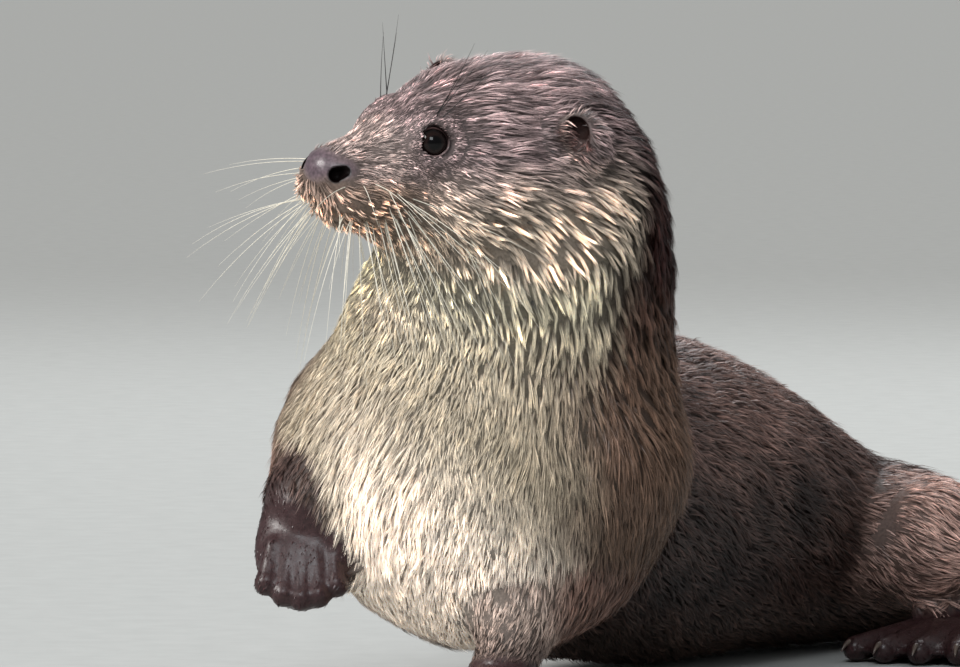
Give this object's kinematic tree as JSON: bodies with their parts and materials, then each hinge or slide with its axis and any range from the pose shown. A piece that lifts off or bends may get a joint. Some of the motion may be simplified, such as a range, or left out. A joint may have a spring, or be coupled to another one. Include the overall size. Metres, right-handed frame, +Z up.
{
  "type": "eurasian otter, life-size still model",
  "caption": "Life-size still model of a Eurasian otter resting on its belly, chest raised on one forepaw, head turned to the side.",
  "frame": {"origin": "on the floor, below the middle of the whole animal's bounding box", "axes": "+Z up; +X runs to the viewer's right in the picture's view and is the longest extent; +Y runs away from the viewer"},
  "size_m": [0.5708, 0.4952, 0.2446],
  "materials": {
    "coat": "damp brown fur in pointed locks, pale on the throat and chest",
    "paw": "dark wet skin under very short fur",
    "nose": "pebbled, moist, grey-violet",
    "eye": "wet and glossy, near black"
  },
  "bodies": {
    "root": {"head": "coat", "neck": "coat", "chest": "coat", "trunk": "coat", "hips": "coat", "tail_base": "coat", "tail_tip": "coat", "foreleg_left": "coat", "foreleg_right": "coat", "hindleg_left": "coat", "hindleg_right": "coat", "forepaw_left": "paw", "forepaw_right": "paw", "hindfoot_left": "paw", "hindfoot_right": "paw", "ear_left": "coat", "ear_right": "coat", "nose": "nose", "eye_left": "eye", "eye_right": "eye"}
  },
  "joints": []
}
